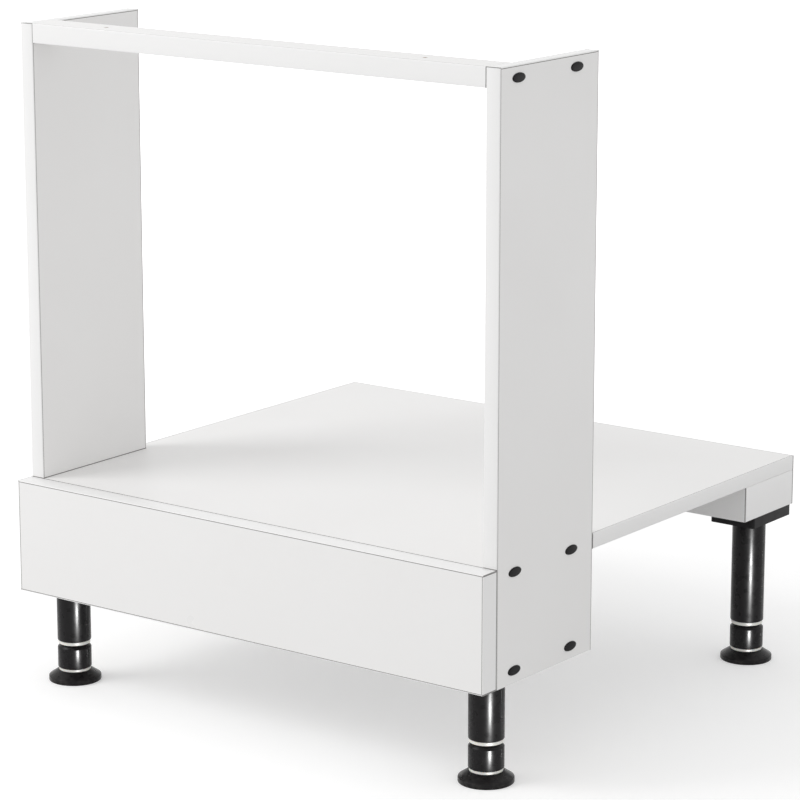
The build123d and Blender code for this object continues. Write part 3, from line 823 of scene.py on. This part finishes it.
# %% Feet
FOOT_RADIUS, RIM_HEIGHT = 28.0, 5.0
RECESS_RADIUS, RECESS = 21.0, 2.0
FOOT_DISC = [(0.0, FOOT_RING_UNDER, 0.0), (LEG_RADIUS, FOOT_RING_UNDER, 0.5),
             (FOOT_RADIUS, RIM_HEIGHT, 1.0), (FOOT_RADIUS, 0.0, 0.6), (RECESS_RADIUS, 0.0, 0.5),
             (RECESS_RADIUS, RECESS, 0.4), (0.0, RECESS, 0.0)]


def joined(name, first, second):
    """The two meshes as one closed mesh."""
    base, tool = put(name, first), put(f"{name} tool", second)
    join = base.modifiers.new("join", "BOOLEAN")
    join.operation, join.solver, join.object = "UNION", "EXACT", tool
    mesh = baked(base)
    for piece in (base, tool):
        bpy.data.objects.remove(piece)
    mesh.name = name
    return mesh


disc = turned("foot disc", FOOT_DISC, False, leg_black)
foot = joined("foot", disc, spindle)
foot.set_sharp_from_angle(angle=SHARP)
keep_place(foot)
print("foot:", len(foot.polygons), "faces")

# %% [markdown]
# Each leg now gets its tube, collar, foot and rings. Each piece hides the node of the frame that it stands
# for, and rides on that node's body, so the collar turns and the foot travels with its ring. The
# four rings under the tubes are one node in the frame, and stay with the carcass.

# %% Placing the legs
tube_rings = []
for leg, axis in AXES.items():
    row = leg.split("_")[0]
    parts = [
        (set_at(f"{leg}_turned_tube", TUBES[row], axis), f"{leg}_leg_tube", "black_plastic", "carcass"),
        (set_at(f"{leg}_turned_collar", collar, axis), f"{leg}_leg_collar", "black_plastic", f"{leg}_collar"),
        (set_at(f"{leg}_threaded_foot", foot, axis), f"{leg}_leg_foot", "black_plastic", f"{leg}_foot"),
        (set_at(f"{leg}_turned_foot_ring", foot_ring, axis), f"{leg}_foot_ring", "pale_nylon", f"{leg}_foot"),
    ]
    for piece, node, slot, body in parts:
        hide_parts(node)
        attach(piece, body)
    tube_rings.append(set_at(f"{leg}_turned_tube_ring", tube_ring, axis))
for piece in tube_rings:
    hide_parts("tube_slip_rings")
    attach(piece, "carcass")
print("legs placed:", len(AXES))

# %% [markdown]
# Oval plastic caps hide the screw heads. Each is pushed into a screw's socket by a short stem. The
# same turning recipe makes a round cap first. A second tree pulls it out to an oval, but not its
# stem, and sets one copy on every screw, turned to face out of its panel.

# %% Cover cap recipe
CAP_LENGTH, CAP_WIDTH = 21.0, 9.5
CAP_DOME = [(0.0, 1.6, 0.0), (1.6, 1.57, 0.0), (2.9, 1.42, 0.0)]
CAP_SHOULDER_IN, CAP_SHOULDER_UP = 0.25, 1.0
CAP_SHARP = math.radians(40)
STEM_STARTS = -0.01 * MM


def cap_outline(stem_radius, stem_length):
    """Half outline of a domed cap of the cap's width, with its stem, in mm."""
    rim = CAP_WIDTH / 2
    return CAP_DOME + [(rim - CAP_SHOULDER_IN, CAP_SHOULDER_UP, 0.7), (rim, 0.0, 0.0),
                       (stem_radius, 0.0, 0.15), (stem_radius, -stem_length, 0.3),
                       (0.0, -stem_length, 0.0)]


def cap_recipe():
    """Pulls a round cap out to an oval and sets a copy of it on every point of the mesh."""
    recipe = Recipe("cover caps", stretch=CAP_LENGTH / CAP_WIDTH, cap=None)
    shape = recipe.node("GeometryNodeObjectInfo", sockets={"Object": recipe.given("cap")}).out("Geometry")
    place = recipe.node("ShaderNodeSeparateXYZ", sockets={0: recipe.node("GeometryNodeInputPosition")})
    above = place.out("Z") > STEM_STARTS
    offset = recipe.node("ShaderNodeCombineXYZ", sockets={"X": place * (recipe.given("stretch") - 1) * above})
    oval = recipe.node("GeometryNodeSetPosition", sockets={"Geometry": shape, "Offset": offset})
    outward = recipe.stored("outward", "FLOAT_VECTOR")
    turn = recipe.node("FunctionNodeAxesToRotation", {"primary_axis": "Z", "secondary_axis": "X"},
                       {"Primary Axis": outward, "Secondary Axis": (0.0, 1.0, 0.0)})
    recipe.end(recipe.node("GeometryNodeInstanceOnPoints",
                           sockets={"Points": recipe.entry, "Instance": oval, "Rotation": turn}))
    return recipe


cover_caps = cap_recipe()
print("cover cap recipe:", ", ".join(cover_caps.keys))

# %% [markdown]
# The places come from the frame: each cap there is a separate island of its node, and the middle of
# the island's box says where the cap sits. Its sign along X says which panel it faces out of.

# %% Setting the caps
SAME_CORNER = 0.001 * MM


def merged(node):
    """A frame node's mesh for editing, with the corners of its loose triangles merged."""
    built = bmesh.new()
    built.from_mesh(frame["nodes"][node].data)
    bmesh.ops.remove_doubles(built, verts=built.verts, dist=SAME_CORNER)
    return built


def islands(node):
    """The lowest and highest corner of each loose part of a frame node."""
    built = merged(node)
    boxes, seen = [], set()
    for first in built.verts:
        if first in seen:
            continue
        part, queue = [], [first]
        seen.add(first)
        while queue:
            vertex = queue.pop()
            part.append(vertex.co.copy())
            for edge in vertex.link_edges:
                other = edge.other_vert(vertex)
                if other not in seen:
                    seen.add(other)
                    queue.append(other)
        lowest = [min(co[axis] for co in part) for axis in (X, Y, Z)]
        highest = [max(co[axis] for co in part) for axis in (X, Y, Z)]
        boxes.append((lowest, highest))
    built.free()
    return boxes


PANEL_FACE = {"left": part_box("left_side_panel")[0][X], "right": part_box("right_side_panel")[1][X]}


def set_caps(node, stem_radius, stem_length):
    """Sets domed caps in the places of a node's plain ones. The stem's sizes are in mm."""
    points, outwards = [], []
    for low, high in islands(node):
        side = "left" if low[X] < 0 else "right"
        points.append((PANEL_FACE[side], (low[Y] + high[Y]) / 2, (low[Z] + high[Z]) / 2))
        outwards.append((float(SIDES[side]), 0.0, 0.0))
    cap = turned("one cap", cap_outline(stem_radius, stem_length), False, cap_black, segments=48)
    shape = bpy.data.objects.new("one cap", cap)
    places = line_mesh(node, points, [], outward=outwards)
    caps = cover_caps.make(f"domed_{node}", places, cap=shape, finish=cap_black)
    bpy.data.objects.remove(shape)
    caps.data.set_sharp_from_angle(angle=CAP_SHARP)
    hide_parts(node)
    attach(caps, "carcass")
    print(caps.name, len(points), "caps,", len(caps.data.polygons), "faces")


set_caps("screw_caps", stem_radius=1.75, stem_length=2.2)
set_caps("link_bore_caps", stem_radius=3.95, stem_length=10.0)

# %% [markdown]
# The leg plates keep the frame's shape, ribs and screw seats, but no moulding has knife-sharp edges.
# A copy of each gets its corners merged, its flat faces joined into one, and a fine bevel on every
# edge that turns by more than 35 degrees.

# %% Softened leg plates
PLATE_BEVEL = 0.5 * MM
FLAT = math.radians(1)


def softened(node, name, width, finish):
    """A copy of a frame node with finely bevelled edges."""
    built = merged(node)
    bmesh.ops.dissolve_limit(built, angle_limit=FLAT, verts=built.verts, edges=built.edges)
    piece = put(name, finished_mesh(built, name, finish))
    bevel = piece.modifiers.new("bevel", "BEVEL")
    bevel.width, bevel.segments, bevel.limit_method = width, 2, "ANGLE"
    bevel.angle_limit, bevel.use_clamp_overlap = SHARP, True
    result = baked(piece)
    piece.modifiers.clear()
    piece.data = result
    return piece


for leg in LEGS:
    node = f"{leg}_leg_plate"
    plate = softened(node, f"{leg}_moulded_plate", PLATE_BEVEL, plate_black)
    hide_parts(node)
    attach(plate, "carcass")
    print(plate.name, len(plate.data.polygons), "faces")

# %% [markdown]
# Screws and brackets are steel with a bright zinc coat. Zinc isn't a mirror: it has a cloudy,
# slightly blue skin, a fine crystal pattern, and faint marks from rolling or turning.

# %% Zinc steel


def zinc(name, crystal, roughness):
    """A zinc coat on steel. crystal is the size of its grains."""
    finish = Finish(name, Metallic=1.0)
    grains = finish.node("ShaderNodeTexVoronoi", sockets={"Vector": finish.place, "Scale": 1 / crystal})
    tone = finish.node("ShaderNodeSeparateXYZ", sockets={0: grains.out("Color")})
    colour = finish.blend(tone, (0.56, 0.58, 0.61, 1), (0.68, 0.69, 0.70, 1))
    stain = finish.step(finish.noise(6 * MM, 3.0), 0.5, 0.8)
    finish.set(Base_Color=finish.blend(stain * 0.3, colour, (0.60, 0.56, 0.46, 1)))
    finish.set(Roughness=tone * 0.10 + finish.noise(3 * MM, 3.0) * 0.15 + (roughness - 0.12))
    finish.set(Normal=finish.bump(finish.noise(0.25 * MM, 2.0, (1.0, 6.0, 6.0)), 0.006 * MM))
    return finish.material


screw_zinc = zinc("zinc screws", 0.8 * MM, 0.32)
bracket_zinc = zinc("zinc brackets", 2.5 * MM, 0.38)
for node in ("carcass_screws", "bearer_screws", "bracket_screws", "front_plate_screws", "rear_plate_screws"):
    dress(node, screw_zinc)
dress("fascia_brackets", bracket_zinc)
print(screw_zinc.name, bracket_zinc.name)

# %% [markdown]
# The dowels are beech. Its grain runs along the dowel: long streaks, and short dark flecks. The
# dowels of the carcass lie along X, those of the fascia along Y.

# %% Beech


def beech(name, stretch):
    """Beech whose grain is drawn out along the axis with the small stretch."""
    finish = Finish(name, Specular_IOR_Level=0.3)
    streak = finish.noise(1.5 * MM, 3.0, stretch)
    fleck = finish.step(finish.noise(0.6 * MM, 2.0, stretch), 0.58, 0.68)
    colour = finish.blend(streak, (0.56, 0.37, 0.20, 1), (0.70, 0.50, 0.30, 1))
    finish.set(Base_Color=finish.blend(fleck * 0.5, colour, (0.36, 0.21, 0.11, 1)))
    finish.set(Roughness=streak * 0.2 + 0.5, Normal=finish.bump(streak, 0.03 * MM))
    return finish.material


dress("carcass_dowels", beech("beech along X", (0.08, 1.0, 1.0)))
dress("fascia_dowels", beech("beech along Y", (1.0, 0.08, 1.0)))
print("dowels dressed")

# %% [markdown]
# The drawing is an exact perspective with its upright lines kept upright, which takes a shifted
# frame. This camera isn't shifted, and looks a little down instead. Its place, turn and lens are
# those whose view comes nearest to the drawn corners: a long lens from the front right, above.

# %% Camera
CAMERA_PLACE = (2.0239, -2.7355, 1.0972)
CAMERA_DOWN, CAMERA_ROUND = 13.198, 36.705
CAMERA_TURN = (math.radians(90 - CAMERA_DOWN), 0.0, math.radians(CAMERA_ROUND))
SENSOR_WIDTH, LENS = 36.0, 147.92

camera = put("camera", bpy.data.cameras.new("camera"))
camera.location, camera.rotation_euler = CAMERA_PLACE, CAMERA_TURN
camera.data.sensor_width, camera.data.lens = SENSOR_WIDTH, LENS
camera.data.clip_start, camera.data.clip_end = 0.1, 100.0
bpy.context.scene.camera = camera
print("camera:", tuple(round(c, 3) for c in camera.location))

# %% [markdown]
# The unit stands on a plain pale floor. The floor takes the shadow as real paint would. Rays from
# the camera also see a little glow on it that lifts it to white, and that grows with the distance,
# so the floor meets the white surroundings without a horizon.

# %% Floor and surroundings
AMBIENT = 0.78
FLOOR_GLOW = 0.32
FLOOR_NEAR, FLOOR_FAR, FLOOR_HALF = 0.8, 2.5, 30.0


def seen_directly(graph):
    """1 for rays from the camera and for mirrored and transmitted ones, 0 for the rest."""
    path = graph.node("ShaderNodeLightPath")
    seen = graph.maths("MAXIMUM", path.out("Is Camera Ray"), path.out("Is Glossy Ray"))
    return graph.maths("MAXIMUM", seen, path.out("Is Transmission Ray"))


def floor_paint():
    """Pale paint, with the glow that the camera sees."""
    finish = Finish("studio floor", Roughness=0.9, Specular_IOR_Level=0.1)
    finish.set(Base_Color=finish.blend(finish.noise(0.4, 3.0), rgb(0.80), rgb(0.79)))
    across = finish.vector_maths("LENGTH", finish.place).out("Value")
    glow = finish.step(across, FLOOR_NEAR, FLOOR_FAR) * (1.0 - FLOOR_GLOW) + FLOOR_GLOW
    glow = finish.blend(glow * seen_directly(finish), rgb(0.0), rgb(1.0))
    finish.set(Emission_Color=glow, Emission_Strength=1.0)
    return finish.material


def flat_square(name, half):
    """A level square round the origin, from its middle out to half on each side."""
    mesh = bpy.data.meshes.new(name)
    corners = [(-half, -half, 0), (half, -half, 0), (half, half, 0), (-half, half, 0)]
    mesh.from_pydata(corners, [], [(0, 1, 2, 3)])
    return mesh


floor = put("studio_floor", flat_square("studio floor", FLOOR_HALF))
floor.data.materials.append(floor_paint())

world = bpy.data.worlds.new("studio")
world.use_nodes = True
bpy.context.scene.world = world
sky = Graph(world.node_tree)
strength = seen_directly(sky) * (1.0 - AMBIENT) + AMBIENT
background = world.node_tree.nodes["Background"]
sky.feed(background.inputs["Strength"], strength)
sky.feed(background.inputs["Color"], rgb(1.0))
bpy.context.scene.view_settings.view_transform = "Standard"
print("floor and surroundings ready")

# %% [markdown]
# A large soft lamp stands at the upper left. It lights the fronts and the tops, and leaves the right
# sides a shade darker, so that white boards on a white ground keep their edges. A narrow lamp puts
# the long highlight on the legs. An upright tube mirrors what stands as far below it as the camera
# stands above it, so this lamp is under the floor. It counts for gloss only, the turned parts of the
# legs above their feet alone receive it, and only the turned parts can shade it. It is far off, so
# that the highlight runs down every leg at the same place.

# %% Lamps
UNIT_MIDDLE = (0.0, 0.0, 0.35)
LEG_MIDDLE = (0.0, 0.0, 0.08)


def lamp(name, place, size, power, target):
    """A rectangular lamp aimed at a point. The camera doesn't see it."""
    light = bpy.data.lights.new(name, "AREA")
    light.shape, light.size, light.size_y, light.energy = "RECTANGLE", size[0], size[1], power
    made = put(name, light)
    made.location = place
    made.rotation_euler = (Vector(target) - Vector(place)).to_track_quat("-Z", "Y").to_euler()
    made.visible_camera = False
    return made


lamp("key", (-2.2, -2.3, 2.7), (1.8, 1.8), 50, UNIT_MIDDLE)
gloss = lamp("leg highlight", (2.92, -1.93, -0.85), (0.15, 0.30), 420, LEG_MIDDLE)
gloss.visible_diffuse = False
turned_parts = bpy.data.collections.new("turned parts")
lit_parts = bpy.data.collections.new("turned parts above the feet")
for piece in bpy.data.objects:
    if piece.type == "MESH" and set(piece.data.materials) & {leg_black, ring_nylon}:
        turned_parts.objects.link(piece)
        if not piece.name.endswith("threaded_foot"):
            lit_parts.objects.link(piece)
gloss.light_linking.receiver_collection = lit_parts
gloss.light_linking.blocker_collection = turned_parts
